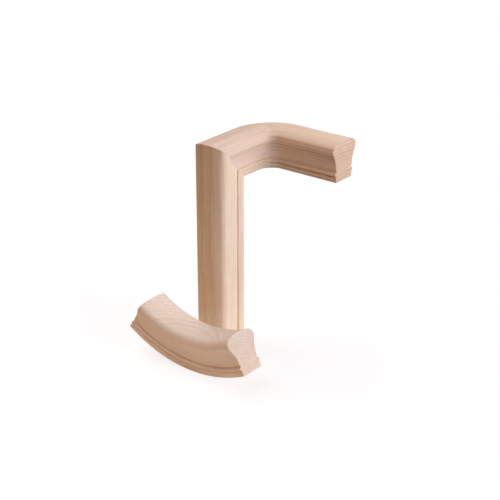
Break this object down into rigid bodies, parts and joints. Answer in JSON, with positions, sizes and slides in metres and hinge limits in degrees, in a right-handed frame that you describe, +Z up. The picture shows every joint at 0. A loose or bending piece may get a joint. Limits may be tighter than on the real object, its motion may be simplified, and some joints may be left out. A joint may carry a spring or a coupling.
{
  "type": "handrail gooseneck fitting",
  "caption": "Wooden handrail gooseneck with a vertical riser mitred into a level quarter turn, and its loose curved up-easing, linking a raking rail to a level one.",
  "frame": {"origin": "middle of the riser's foot, on the floor plane", "axes": "+Z up along the riser, +X the way the level rail leaves the quarter turn, +Y from the riser's crown side to its underside"},
  "size_m": [0.2187, 0.2675, 0.3096],
  "materials": {
    "riser_wood": "sanded, unfinished",
    "level_wood": "sanded, unfinished",
    "easing_wood": "sanded, unfinished",
    "dowel_wood": "plain turned dowel"
  },
  "bodies": {
    "root": {"riser": "riser_wood", "level_quarter_turn": "level_wood", "up_easing": "easing_wood", "mitre_dowels": "dowel_wood"}
  },
  "joints": []
}
